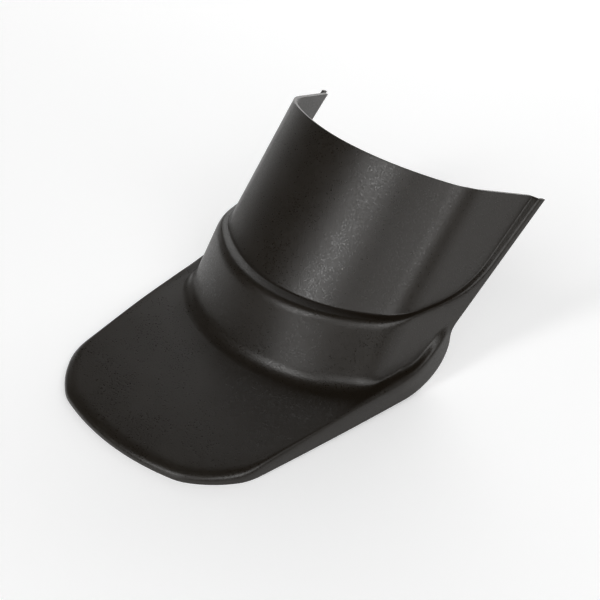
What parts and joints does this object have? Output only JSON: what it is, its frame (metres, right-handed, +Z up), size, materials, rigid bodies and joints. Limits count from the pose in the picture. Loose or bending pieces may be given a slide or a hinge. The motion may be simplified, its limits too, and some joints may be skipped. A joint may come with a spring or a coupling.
{
  "type": "mudguard extender",
  "caption": "Black ABS extender for the tail of a motorbike mudguard: a curved sleeve that tucks under it, a stepped band and a flared visor with a turned-down rim.",
  "frame": {"origin": "On the crown line of the sleeve, where the sleeve meets the ledge", "axes": "+X across the part to its right, seen from behind; +Y from the visor to the end that tucks under the mudguard; +Z up, with the rim of the visor standing on a level floor"},
  "size_m": [0.1524, 0.2172, 0.0959],
  "materials": {
    "abs_black": "satin, with a fine moulded grain"
  },
  "bodies": {
    "root": {"mudguard_extender": "abs_black"}
  },
  "joints": []
}
